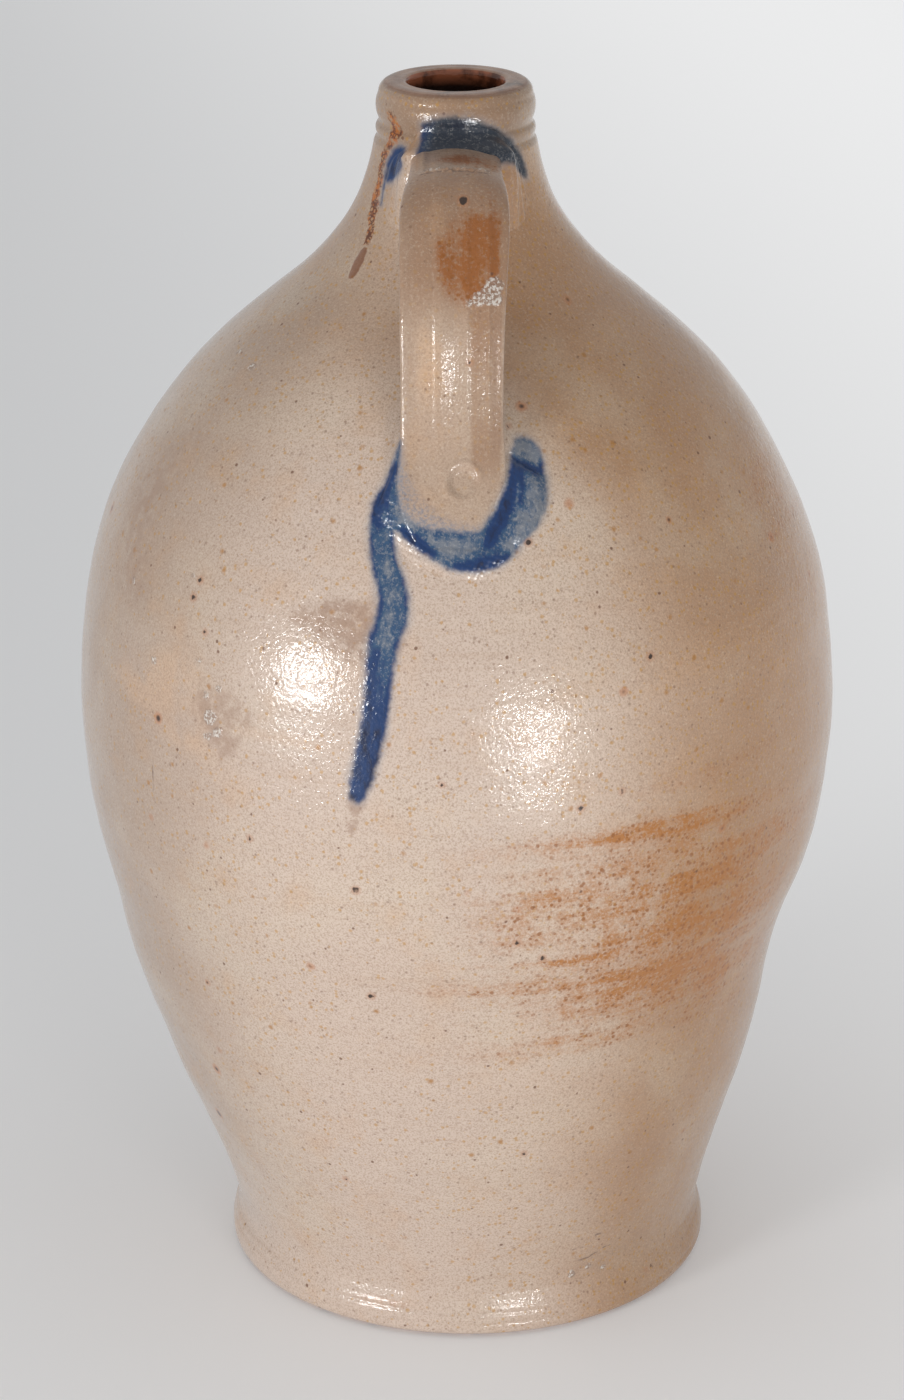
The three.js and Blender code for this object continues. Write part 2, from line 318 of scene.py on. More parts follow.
# Grey-brown matt shadows where the flame or a neighbouring pot marked the glaze.
KISS_MARK = [(-40.6, 222.5, 2), (-38, 215, 7.6), (-35.8, 209.5, 6.6), (-36, 202, 1.6)]
KISS_SPUR = [(-36, 219.5, 4), (-32, 216, 3.4)]
RUN_SHADOW = [(-25, 247.5, 2), (-19, 246.5, 6.6), (-13, 245, 10)]
SOOT = [
    (88, 308, 9, 8, 0.8), (60, 318, 18, 6, 0.25), (-66, 262, 8, 20, 0.6), (-60, 240, 6, 12, 0.4),
    (-58, 284, 9, 12, 0.3), (30, 20, 9, 5, 0.4), (46, 24, 10, 8, 0.3), (10, 60, 20, 12, 0.25),
    (-36, 52, 16, 10, 0.3), (44, 60, 14, 16, 0.3), (60, 244, 9, 10, 0.3),
]  # fmt: skip

# Rough white crusts, and chips through the glaze: (angle, height, radius).
CRUSTS = [
    (-38.4, 213.4, 2.3), (-36.8, 209.6, 1.7), (-38.6, 207.6, 1.5), (-39.4, 219.5, 1.1),
    (-37.2, 222.5, 1), (-51.2, 224, 1.3), (-60.4, 242.6, 1), (-41.5, 228.6, 1.1), (-69, 303.8, 1.2),
    (30, 19, 1.1), (25.5, 17.8, 1.3),
]  # fmt: skip
CHIPS = [(-59.1, 302.7, 1.5), (-46, 251, 0.8), (103, 150, 1.6), (-141, 96, 1.3), (34.6, 16.8, 1.2)]

# Black iron blebs: (angle, height, radius).
BLEBS = [
    (-14.8, 168.5, 1.1), (-13.1, 131.5, 1), (8.7, 152, 0.9), (12.7, 145.8, 0.9), (8.4, 163.5, 0.6),
    (-31.2, 179.5, 0.8), (-44, 250.5, 0.9), (-44.6, 245.5, 1), (-40.9, 237.2, 0.7), (30, 234.6, 0.9),
    (23.9, 197.1, 0.7), (17.5, 193.8, 0.9), (-2.2, 203, 0.6), (-24, 58, 0.7), (12, 72, 0.8),
    (-46, 96, 0.7), (51, 62, 0.7), (75, 230, 0.9), (118, 262, 1), (151, 190, 1.1), (-92, 150, 1),
    (-120, 214, 0.9), (-164, 248, 1), (170, 92, 0.8), (12.5, 268.5, 0.9), (11.6, 296.6, 0.5),
]  # fmt: skip

# Kiln scratches by the foot and on the left of the belly.
SCRATCHES = [
    [(24.6, 27.4, 0.25), (27, 28.4, 0.45), (28.4, 27, 0.2)],
    [(28.6, 30.4, 0.2), (31.4, 31.6, 0.5), (33, 31.2, 0.2)],
    [(31.8, 24, 0.2), (34.6, 25.6, 0.4), (36.6, 24.8, 0.2)],
    [(25.6, 22.6, 0.2), (29.6, 22.8, 0.4), (31.4, 24, 0.3)],
    [(-49.8, 199, 0.2), (-50.3, 188, 0.4), (-50.4, 177, 0.2)],
    [(-36.8, 167.6, 0.2), (-35.4, 166, 0.5), (-34.6, 164.6, 0.2)],
    [(-61.5, 166, 0.2), (-60.4, 163.6, 0.4), (-59, 162.6, 0.2)],
]


def clouded(surface, clouds):
    """The sum of soft blots, up to 1. A blot is (first, second, first size, second size, strength)."""
    return np.clip(sum(cloud[4] * surface.cloud(*cloud[:4]) for cloud in clouds), 0, 1)


def cobalt_marks(surface):
    """Depth of the cobalt brushwork, and how thickly it lies there, 0 to 1."""
    run = surface.stroke(COBALT_RUN)
    brushed = [surface.outline(each) for each in (COBALT_CRESCENT, COBALT_LEFT_BLOT, COBALT_POOL)]
    depth = deepest(brushed + [surface.stroke(COBALT_LEFT_LINE), run])
    heavy = soft_step(surface.strokes(COBALT_HEAVY), -1.8, 1.4)
    thin = soft_step(surface.strokes(COBALT_THIN), -2.8, 1.6)
    run_edge = 0.3 * bell(run - 0.6, 0.9) - 0.08 * soft_step(run, 0, 2)
    towards_tip = soft_step(-surface.second, -248, -212) * (run > -1)
    crescent = 0.22 * (surface.second > SEAM + 120)
    load = 0.34 + 0.66 * heavy + run_edge + 0.55 * towards_tip + crescent - 0.42 * thin
    return depth, np.clip(load, 0, 1)


def warmth(angle, z):
    """The glaze's tan and painted shade, 0 to 1: most on the right, on the shoulder and up the neck.
    """
    turned = 0.94 * soft_step(angle, -4, 60) * soft_step(-angle, -200, -130)
    raised = 0.85 * soft_step(z, 268, 345) + 0.3 * soft_step(z, 240, 300) * soft_step(angle, 0, 40)
    # The clay wiped round the strap's root kept a greyer glaze.
    wiped = soft_step(z, 312, 344) * soft_step(-z, -367, -361) * bell(angle, 50)
    tanned = turned * (1.16 - 0.22 * soft_step(z, 190, 236)) + raised
    return np.clip(tanned - 0.7 * wiped, 0, 1)


def darker_leftwards(angle, z):
    """How much darker and greyer the glaze is made, 0 to 1: towards the left side."""
    flank = soft_step(-angle, 14, 66) * (1 - 0.5 * soft_step(-angle, 68, 84))
    return flank * soft_step(angle, -150, -110) * soft_step(z, 0, 90)


def jug_marks(points):
    """Every mark on the jug's wall, as named values at each point."""
    surface = jug_surface(points)
    cobalt, load = cobalt_marks(surface)
    kiss = soft_step(surface.strokes([KISS_MARK, KISS_SPUR]), -3, 2.8)
    by_run = soft_step(surface.stroke(RUN_SHADOW), -4, 3)
    tail = 0.7 * soft_step(surface.stroke(COBALT_RUN_TAIL), -1.5, 1.2)
    return {
        "cobalt": cobalt,
        "cobalt_load": load,
        "wash": soft_step(surface.stroke(COBALT_WASH), -2.6, 2.4),
        "slate": soft_step(surface.second, 340, 350) * soft_step(surface.first, -27, -12),
        "iron": surface.stroke(IRON_RUN),
        "bead": surface.stroke(IRON_BEAD),
        "blush": clouded(surface, BLUSH),
        "peach": clouded(surface, PEACH),
        "edge": darker_leftwards(surface.first, surface.second),
        "shadow": np.clip(0.64 * kiss + 0.88 * by_run + clouded(surface, SOOT) + tail, 0, 1),
        "crust": surface.spots(CRUSTS + CHIPS),
        "bleb": surface.spots(BLEBS),
        "scratch": surface.strokes(SCRATCHES),
        "warmth": warmth(surface.first, surface.second),
    }


# ---- relief of the thrown wall

# Throwing rings: (height of one ring, size, phase, sway round the jug).
RINGS = [
    (47, 0.13, 0.4, 1.1), (23.3, 0.055, 2.1, -0.8), (14.2, 0.03, 4.4, 0.9), (8.3, 0.011, 1.2, 1.7),
    (5.1, 0.006, 5.1, -2.2),
]  # fmt: skip
# Lines cut round the foot: (height, depth, width, phase of its wander).
FOOT_LINES = [
    (4.6, 0.42, 0.6, 0.7), (8.4, 0.36, 0.6, 2.6), (11, 0.4, 0.7, 4.1), (14.4, 0.2, 0.7, 1.2),
]  # fmt: skip
SEAM_RIDGE = 0.2  # how far the lute between the two sections stands proud
SEAM_REACH = 14.0  # and how far above and below its middle it fades out


def thrown_relief(angle, z):
    """Millimetres that the thrown wall stands off its nominal surface."""
    turn = np.radians(angle)
    relief = 0.32 * np.sin(2 * turn + 0.6 + z / 95) + 0.16 * np.sin(3 * turn + 2 + z / 47)
    relief *= soft_step(z, 0, 60) * soft_step(-z, -350, -250)
    for height, size, phase, sway in RINGS:
        relief += size * np.sin(2 * np.pi * z / height + phase + sway * np.sin(turn + phase))
    relief *= soft_step(-z, -364, -330) * soft_step(z, 10, 40) * 0.85 + 0.15
    ridge_z = SEAM + 1.2 * np.sin(turn + 2.2)
    relief += SEAM_RIDGE * np.clip(1 - np.hypot(z - ridge_z, 0.9) / SEAM_REACH, 0, 1)
    for height, depth, width, phase in FOOT_LINES:
        wander = height + 0.5 * np.sin(2 * turn + phase)
        strength = 0.55 + 0.45 * np.sin(turn * 1.5 + phase)
        relief -= depth * strength * bell(z - wander, width)
    return relief


def jug_relief(points):
    """The thrown relief, with blebs, chips, crusts and the thickness of the cobalt."""
    angle, z = place_of(points)
    surface = jug_surface(points)
    relief = thrown_relief(angle, z)
    for spot in CHIPS:
        relief -= 0.5 * soft_step(surface.spot(*spot), -0.5, 0.7)
    for spot in CRUSTS:
        relief += 0.22 * soft_step(surface.spot(*spot), -0.6, 0.8)
    relief += 0.45 * soft_step(surface.stroke(IRON_BEAD), -0.6, 1)
    relief += 0.15 * soft_step(surface.stroke(COBALT_RUN), -1.2, 1.8)
    return relief


# ---- meshes


def grid_faces(rows, columns, closed_rows, closed_columns):
    """Quads over a grid of vertices numbered row by row."""
    index = np.arange(rows * columns).reshape(rows, columns)
    if closed_rows:
        index = np.vstack([index, index[:1]])
    if closed_columns:
        index = np.hstack([index, index[:, :1]])
    a, b = index[:-1, :-1], index[:-1, 1:]
    c, d = index[1:, 1:], index[1:, :-1]
    return np.stack([a, b, c, d], axis=-1).reshape(-1, 4)


def make_piece(name, points, faces, sharp_degrees=50):
    """A smooth-shaded object from points in millimetres, with faces pointing out."""
    mesh = bpy.data.meshes.new(name)
    mesh.from_pydata((points * MM).tolist(), [], faces.tolist())
    work = bmesh.new()
    work.from_mesh(mesh)
    bmesh.ops.remove_doubles(work, verts=work.verts, dist=1e-3 * MM)
    bmesh.ops.recalc_face_normals(work, faces=work.faces)
    work.to_mesh(mesh)
    work.free()
    mesh.shade_smooth()
    mesh.set_sharp_from_angle(angle=math.radians(sharp_degrees))
    piece = bpy.data.objects.new(name, mesh)
    bpy.context.scene.collection.objects.link(piece)
    return piece


def piece_points(piece):
    """The piece's vertices as an (N, 3) array in millimetres."""
    flat = np.empty(len(piece.data.vertices) * 3)
    piece.data.vertices.foreach_get("co", flat)
    return flat.reshape(-1, 3) / MM


def paint(piece, marks):
    """Stores each named array as a value per vertex, for the materials to read."""
    for name, values in marks.items():
        layer = piece.data.attributes.new(name, "FLOAT", "POINT")
        layer.data.foreach_set("value", np.asarray(values, np.float32))


def settle(piece, nodes, slot, material):
    """Gives a piece its material, hides the CAD nodes it replaces, and attaches it to its body."""
    piece.data.materials.append(material)
    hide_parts(*nodes)
    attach(piece, "root")


def turned_piece(name, outline, columns):
    """A closed body of revolution. Outline points are (radius, height, share of the relief)."""
    radius, z, share = np.array(outline, float).T
    even = np.linspace(-np.pi, np.pi, columns, endpoint=False)
    turn = np.degrees(even - 0.4 * np.sin(even))  # columns lie closer together near the handle
    angle, z_grid = np.meshgrid(turn, z)
    radius_grid = np.broadcast_to(radius[:, None], z_grid.shape)
    share_grid = np.broadcast_to(share[:, None], z_grid.shape)
    relief = np.zeros(z_grid.shape)
    marked = share_grid > 0
    relief[marked] = share_grid[marked] * jug_relief(on_jug(angle[marked], z_grid[marked]))
    reach = radius_grid + relief
    x = lean(z_grid) + reach * np.sin(np.radians(angle))
    points = np.stack([x, -reach * np.cos(np.radians(angle)), z_grid], axis=-1).reshape(-1, 3)
    on_axis = radius[0] == 0 and radius[-1] == 0
    return make_piece(name, points, grid_faces(len(z), columns, not on_axis, True))


def inner_wall(z):
    """The (radius, height) of the inside of the wall opposite outer height z."""
    slope = wall_slope(z)
    scale = WALL / np.hypot(1, slope)
    return float(outer_radius(z) - scale), float(z + scale * slope)


def quarter(centre_r, centre_z, radius, start, end, steps, share=0):
    """Outline points on part of a circle, between two angles in degrees."""
    turns = np.radians(np.linspace(start, end, steps + 1))
    return [
        (centre_r + radius * math.cos(t), centre_z + radius * math.sin(t), share) for t in turns
    ]


def lower_section():
    """Base, foot and wall up to the belly's lute."""
    edge = 1.4  # radius that turns the flat base up into the foot
    base_radius = float(outer_radius(0)) - 0.4
    heights = np.concatenate([np.arange(edge, 24, 0.5), np.arange(24, SEAM, 1.25), [SEAM]])
    inside = [inner_wall(z) + (0,) for z in np.linspace(SEAM, 26, 34)]
    corner = inner_wall(FLOOR + 6)[0] - 6
    outline = [(0, 1.0, 0), (base_radius * 0.5, 0.7, 0), (base_radius - 9, 0.35, 0)]
    outline += [(base_radius - 6, 0, 0)]
    outline += quarter(base_radius - edge, edge, edge, -90, -20, 5)
    outline += [(float(outer_radius(z)), z, 1) for z in heights]
    outline += inside
    outline += quarter(corner, FLOOR + 6, 6, 0, -90, 6)
    outline += [(corner * 0.5, FLOOR - 0.2, 0), (0, FLOOR, 0)]
    return turned_piece("lower_section", outline, 380)


def upper_section():
    """Shoulder and neck, from the belly's lute to the collar."""
    heights = np.concatenate([[SEAM], np.arange(SEAM + 1.1, NECK_TOP, 0.95), [NECK_TOP]])
    outline = [(float(outer_radius(z)), z, 1) for z in heights]
    outline += [(18.2, NECK_TOP, 0), (18.2, NECK_TOP + 4, 0), (MOUTH_RADIUS, NECK_TOP + 4, 0)]
    outline += [(MOUTH_RADIUS + 0.02, z, 0) for z in np.linspace(NECK_TOP + 3, 354, 8)]
    outline += [inner_wall(z) + (0,) for z in np.linspace(346, SEAM, 40)]
    return turned_piece("upper_section", outline, 400)


# The rolled collar's outside from its foot up: groove, bead, notch, rolled lip.
COLLAR_OUTSIDE = smooth(
    [
        (362, 24.3), (363, 23.95), (364.2, 23.3), (365.2, 23.62), (366.2, 23.75), (367.2, 23.5),
        (368.3, 22.75), (369.4, 23), (371, 23.5), (373, 23.7), (375, 23.45), (376.6, 22.9),
    ]
)  # fmt: skip


def collar():
    """The rolled and tooled collar at the mouth."""
    lip = 3.4  # radius that turns the collar's outside over onto its flat top
    mouth_edge = 1.6
    outline = [(18.5, NECK_TOP, 0)]
    outline += [(float(COLLAR_OUTSIDE(z)), z, 0.5) for z in np.arange(NECK_TOP, 376.61, 0.4)]
    outline += quarter(22.9 - lip, HEIGHT - lip, lip, 6, 84, 10, 0.5)
    outline += [(r, HEIGHT + 0.04 * math.sin(r * 2.1), 0) for r in np.linspace(19.2, 16.2, 7)]
    outline += quarter(MOUTH_RADIUS + mouth_edge, HEIGHT - mouth_edge, mouth_edge, 90, 180, 6)
    outline += [(MOUTH_RADIUS, z, 0) for z in np.linspace(HEIGHT - 2.4, NECK_TOP + 4.2, 9)]
    outline += [(18.5, NECK_TOP + 4.2, 0)]
    return turned_piece("rolled_collar", outline, 260)


# ---- the strap

# The strap's outer face in the plane of the handle, as (Y, Z), from the neck to its end.
STRAP_FACE = [
    (-16, 366.4), (-27, 366.7), (-38, 366.6), (-48, 365.6), (-57, 362.6), (-65, 356.8), (-72, 348),
    (-77.6, 338.2), (-81.2, 328), (-82.8, 317), (-83.9, 306), (-85.6, 295), (-89.4, 285),
    (-94.2, 276), (-98.2, 267.5), (-101, 260.5),
]  # fmt: skip
STRAP_THICKNESS = smooth([(0, 12), (0.2, 10.5), (0.4, 10), (0.75, 9.4), (0.86, 8.5), (1, 7)])
STRAP_LEFT = smooth(
    [
        (0, 12.5), (0.18, 13), (0.25, 14.4), (0.31, 15.4), (0.38, 15.6), (0.5, 15.5), (0.75, 15.3),
        (0.82, 16.4), (0.86, 16), (0.9, 14.4), (0.94, 11.4), (1, 7),
    ]
)  # fmt: skip
STRAP_RIGHT = smooth(
    [
        (0, 13.5), (0.18, 14), (0.25, 15.1), (0.31, 15.7), (0.38, 15.6), (0.46, 15), (0.56, 14.3),
        (0.72, 14), (0.78, 14.6), (0.82, 14.6), (0.86, 12.4), (0.9, 9.8), (0.94, 7.6), (1, 5),
    ]
)  # fmt: skip

# Height of the outer face across the strap, drawn with wet fingers: (across, height). A low step
# stands left of the middle, the face falls away to its right, and the right edge rolls under.
STRAP_RIBS = smooth(
    [
        (-16, -0.3), (-14, -0.26), (-12.4, -0.32), (-10.6, -0.4), (-8.6, -0.3), (-6.5, -0.32),
        (-6, -0.24), (-5.4, 0.02), (-4.6, 0.06), (-3.4, 0.04), (-2.6, -0.08), (-1, -0.38),
        (0.3, -0.62), (1, -0.68), (2.4, -0.71), (3.9, -0.75), (4.5, -0.98), (5, -1.06), (7, -1.12),
        (9.4, -1.2), (10, -1.22), (10.25, -1.34), (11.4, -1.8), (12.6, -2.1), (14, -2.3), (16, -2.5),
    ]
)  # fmt: skip


def strap_frame(steps):
    """Evenly spaced points of the outer face, with the direction along it and out of it."""
    control = np.array(STRAP_FACE, float)
    reach = np.concatenate([[0], np.cumsum(np.hypot(*np.diff(control, axis=0).T))])
    face_y = smooth(list(zip(reach, control[:, 0])))
    face_z = smooth(list(zip(reach, control[:, 1])))
    along = np.linspace(0, reach[-1], steps)
    centre = np.stack([face_y(along), face_z(along)], axis=-1)
    forward = np.gradient(centre, axis=0)
    forward /= np.linalg.norm(forward, axis=1, keepdims=True)
    outward = np.stack([forward[:, 1], -forward[:, 0]], axis=-1)
    return along / reach[-1], centre, forward, outward


def strap_relief(fraction, across, y, z):
    """Millimetres that the strap's outer face stands off its plain section."""
    ribbed = soft_step(fraction, 0.22, 0.36) * soft_step(-fraction, -0.86, -0.62)
    relief = ribbed * STRAP_RIBS(across)
    relief += 0.012 * ribbed * np.sin(across * 4.1 + 1.6 * np.sin(fraction * 9))
    relief -= (1 - ribbed) * 0.009 * across**2 * soft_step(-fraction, -0.9, -0.3)
    relief += 0.1 * np.sin(fraction * 26 + across * 0.16) * soft_step(fraction, 0.2, 0.4)
    # The thumb that pressed the end down left a round dent, deepest at its upper rim.
    from_dent = np.hypot((across - 2.6) / 4.8, (z - 284.6) / 4.8)
    upper_left = soft_step(z - 0.5 * across, 278, 286)
    relief -= 1.3 * soft_step(-from_dent, -1, -0.55) * (0.4 + 0.6 * upper_left)
    relief += 0.3 * bell(from_dent - 1.12, 0.13) * upper_left
    # A torn edge crosses the bend, where the root was wiped into the neck.
    torn_y = -49.6 + 0.02 * across**2 + 0.5 * np.sin(across * 0.9) + 0.5 * np.sin(across * 2.7 + 1)
    on_bend = (z > 350) * soft_step(-np.abs(across - 1.5), -11, -8.5)
    relief += on_bend * (0.7 * bell(y - torn_y, 0.6) - 0.6 * soft_step(y, torn_y, torn_y + 1.4))
    return relief


def strap():
    """The pulled strap, from inside the neck to its pressed end in the shoulder."""
    steps, over, under = 330, 116, 36
    around = over + under
    fraction, centre, _, outward = strap_frame(steps)
    # The section is a rounded bar, squarer along the free strap. Its points lie closer
    # together towards the edges.
    squareness = 0.85 - 0.35 * soft_step(fraction, 0.2, 0.4)[:, None]
    flatness = 0.6 - 0.42 * soft_step(fraction, 0.2, 0.4)[:, None]
    over_turn = np.linspace(0, np.pi, over, endpoint=False)
    under_turn = np.linspace(np.pi, 2 * np.pi, under, endpoint=False)
    side = np.cos(np.concatenate([over_turn, under_turn]))[None]
    s = np.sqrt(1 - np.minimum(np.abs(side), 1) ** (2 / squareness))
    s[:, over:] *= -1
    up = np.sign(s) * np.abs(s) ** flatness
    side = np.broadcast_to(side, s.shape)
    half_width = np.where(side < 0, STRAP_LEFT(fraction)[:, None], STRAP_RIGHT(fraction)[:, None])
    across = half_width * side
    thickness = STRAP_THICKNESS(fraction)[:, None]
    depth = (up - 1) / 2 * thickness
    y = centre[:, :1] + depth * outward[:, :1]
    z = centre[:, 1:] + depth * outward[:, 1:]
    share = np.clip(up, 0, 1)
    relief = share * strap_relief(np.broadcast_to(fraction[:, None], y.shape), across, y, z)
    y = y + relief * outward[:, :1]
    z = z + relief * outward[:, 1:]
    points = np.stack([across + STRAP_CENTRE, y, z], axis=-1)
    caps = [points[:1].mean(axis=1, keepdims=True), points[-1:].mean(axis=1, keepdims=True)]
    points = np.concatenate(
        [np.repeat(caps[0], around, axis=1), points, np.repeat(caps[1], around, axis=1)]
    )
    faces = grid_faces(steps + 2, around, False, True)
    return make_piece("pulled_strap", points.reshape(-1, 3), faces, 60)


STRAP_TOP = 352  # above this height the strap's face lies flat enough to be laid out along Y
OFF_MARK = 5.0  # this many millimetres outside a mark, nothing of it shows

# A rough patch on the strap: (across, height, radius). The torn edge on its top: (across, Y, width).
STRAP_CRUSTS = [
    (4.4, 334.4, 1.2), (7, 335, 1.9), (9.6, 336, 2.6), (11.2, 338, 2.6), (12, 334.6, 1.6),
]  # fmt: skip
TORN_EDGE = [
    (-9.6, -48.4, 0.4), (-6, -48.9, 0.2), (0, -49.3, 0.35), (5, -49.2, 0.2), (9.6, -47.8, 0.35),
]  # fmt: skip
UNDER_TORN = [(across, y - 1.3, width) for across, y, width in TORN_EDGE]


def strap_marks(points):
    """Marks on the strap: its own blush and scars, painted shade on its right, and the jug's cobalt at
    its lower end.
    """
    marks = jug_marks(points)
    across = points[:, 0] - STRAP_CENTRE
    y, z = points[:, 1], points[:, 2]
    ones = np.ones(len(points))
    face = Surface(across, z, ones, ones)
    top = Surface(across, y, ones, ones)
    clear_of_jug = z > 300
    off_top = OFF_MARK * (z < STRAP_TOP)
    for name in ("cobalt", "iron", "bead", "crust", "bleb", "scratch"):
        marks[name] = np.where(clear_of_jug, -OFF_MARK, marks[name])

    def scar(name, depth):
        """Adds a depth to one of the marks."""
        marks[name] = np.maximum(marks[name], depth)

    oval = soft_step(1 - np.hypot((across - 3.8) / 10.6, (z - 345) / 12.8), -0.1, 0.5)
    oval *= soft_step(-across, -13.4, -12.2)
    # dark_side lays the blush's orange down the right of the bend: partly blush, partly painted shade.
    dark_side = 1.2 * face.cloud(9, 349, 4, 11)
    top_flush = 1.5 * top.cloud(3.6, -40, 7, 5) * (z > STRAP_TOP)
    marks["blush"] = np.clip(oval * 1.3 + dark_side + top_flush, 0, 1.4)
    wiped = soft_step(y, -50, -48.6) * (z > 350) * soft_step(-np.abs(across - 1), -13, -10)
    speckled = 0.8 * top.cloud(-1.6, -54.5, 4, 3) * (z > STRAP_TOP)
    # Painted shade: a darker band along the strap's right edge, and a softer one right of its middle.
    shaded = soft_step(across, 9.6, 11) * soft_step(-z, -338, -322) * soft_step(z, 282, 296)
    marks["shadow"] = 0.4 * wiped * np.clip(1 - top_flush, 0, 1) + speckled + 0.5 * shaded
    marks["shadow"] = np.clip(marks["shadow"] + 0.25 * face.cloud(7, 316, 3, 30), 0, 1)
    marks["edge"] = 0.6 * soft_step(-across, 9, 14) + 0.4 * wiped
    # Painted shade: right of its middle the strap's face is made tanner and darker; the rest of the
    # tan is the glaze's own.
    right = soft_step(across, 3.6, 6.6) * soft_step(-across, -14, -12.4)
    marks["warmth"] = np.clip(0.35 + 0.75 * right + 0.5 * soft_step(z, 318, 345), 0, 1)
    marks["warmth"] *= (0.25 + 0.75 * soft_step(z, 276, 300)) * (1 - 0.6 * wiped)
    marks["peach"] = 0.8 * face.cloud(-7, 318, 5, 16)
    scar("crust", face.spots(STRAP_CRUSTS))
    scar("crust", top.stroke(TORN_EDGE) - off_top)
    scar("scratch", top.stroke(UNDER_TORN) - off_top)
    scar("bleb", top.spot(2.6, -61.5, 1.2) - off_top)
    scar("bleb", face.spot(4.4, 317.6, 0.5))
    return marks


# ---- the lutes at the strap's ends


LUTE_SUNK = 2.2  # how far a lute's underside is sunk into the wall


def lute_patch(name, angles, heights, height_of):
    """A closed patch of clay on the jug. height_of gives its thickness, negative to bury it."""
    angle, z = np.meshgrid(angles, heights)
    shape = angle.shape
    base = on_jug(angle.ravel(), z.ravel())
    top = height_of(angle.ravel(), z.ravel()) + jug_relief(base)
    outside = on_jug(angle.ravel(), z.ravel(), top).reshape(*shape, 3)
    inside = on_jug(angle.ravel(), z.ravel(), -LUTE_SUNK).reshape(*shape, 3)
    rows, columns = shape
    faces = grid_faces(rows, columns, False, False)
    index = np.arange(rows * columns).reshape(shape)
    rim = np.concatenate([index[0], index[1:, -1], index[-1, -2::-1], index[-2:0:-1, 0]])
    following = np.roll(rim, -1)
    count = rows * columns
    walls = np.stack([rim, rim + count, following + count, following], axis=-1)
    points = np.concatenate([outside.reshape(-1, 3), inside.reshape(-1, 3)])
    return make_piece(name, points, np.concatenate([faces, faces[:, ::-1] + count, walls]), 60)


ROOT_OUTLINE = [
    (-56, 354), (-50, 361), (-38, 364.2), (-31, 367), (-27, 371.4), (-10, 373.2), (10, 373),
    (26, 371), (38, 367.4), (48, 361.5), (53, 353), (46, 343), (30, 340), (0, 340), (-30, 340),
    (-48, 344),
]  # fmt: skip


def upper_lute_height(angle, z):
    """Clay wiped from the strap's root onto the neck, swept down and round to both sides."""
    sweep = jug_surface(on_jug(angle, z)).outline(ROOT_OUTLINE)
    beyond = np.maximum(np.abs(angle - 1.5) - 29, 0) * 0.45
    banked = 6.2 * np.exp(-((beyond / 4.8) ** 2)) * soft_step(z, 338, 357)
    banked *= soft_step(-z, -370, -363)
    over_groove = (24.35 - 0.095 * (z - 362) - outer_radius(z)) * soft_step(z, 359, 363)
    wrinkles = 0.32 * np.sin(angle * 1.05 + 0.06 * z) * soft_step(angle, 28, 36)
    wrinkles += 0.2 * np.sin(angle * 0.8 - 0.1 * z) * soft_step(-angle, 28, 36)
    wrinkles *= soft_step(-z, -364, -360)
    body = banked * soft_step(sweep, -0.2, 4) + (wrinkles + 0.25) * soft_step(sweep, 0, 2)
    body = np.maximum(body, over_groove)
    edge = soft_step(sweep, -0.9, 0.9)
    return np.where(sweep > -0.95, (body + 0.03) * edge - 1.5 * (1 - edge), -1.6)


# The pad round the strap's lower end, and the ear smeared out on its right.
PAD_OUTLINE = [
    (-12, 297), (-13.6, 288), (-15, 280), (-13.6, 273.5), (-10.6, 268), (-7, 263), (-3, 260),
    (1, 258.6), (5, 258.8), (9, 261.4), (12.4, 266), (15.2, 271), (17.2, 277), (17.8, 284),
    (15.4, 290), (12, 296), (8, 303), (-8, 303),
]  # fmt: skip
EAR_OUTLINE = [
    (9.4, 289), (13.2, 286.8), (17.2, 284.2), (16.8, 277.5), (14.6, 271.6), (11, 267), (8.8, 270),
    (10.4, 276), (10.6, 283),
]  # fmt: skip
EAR_CREASE = [(9.6, 290.4, 0.3), (13.2, 287.6, 0.5), (17.6, 284.2, 0.3)]
LEFT_CREASE = [(-11, 290, 0.2), (-12.4, 283.4, 0.45), (-14, 277.8, 0.3)]


def strap_at(z):
    """On the shoulder: how far the strap's face stands off the jug, and its place along itself."""
    control = np.array(STRAP_FACE, float)[::-1]
    y = np.interp(z, control[:, 1], control[:, 0])
    fraction = np.interp(z, [260.5, 267.5, 276, 285, 295, 306], [1, 0.95, 0.888, 0.82, 0.753, 0.68])
    return (-y - outer_radius(z)) / np.hypot(1, wall_slope(z)), fraction


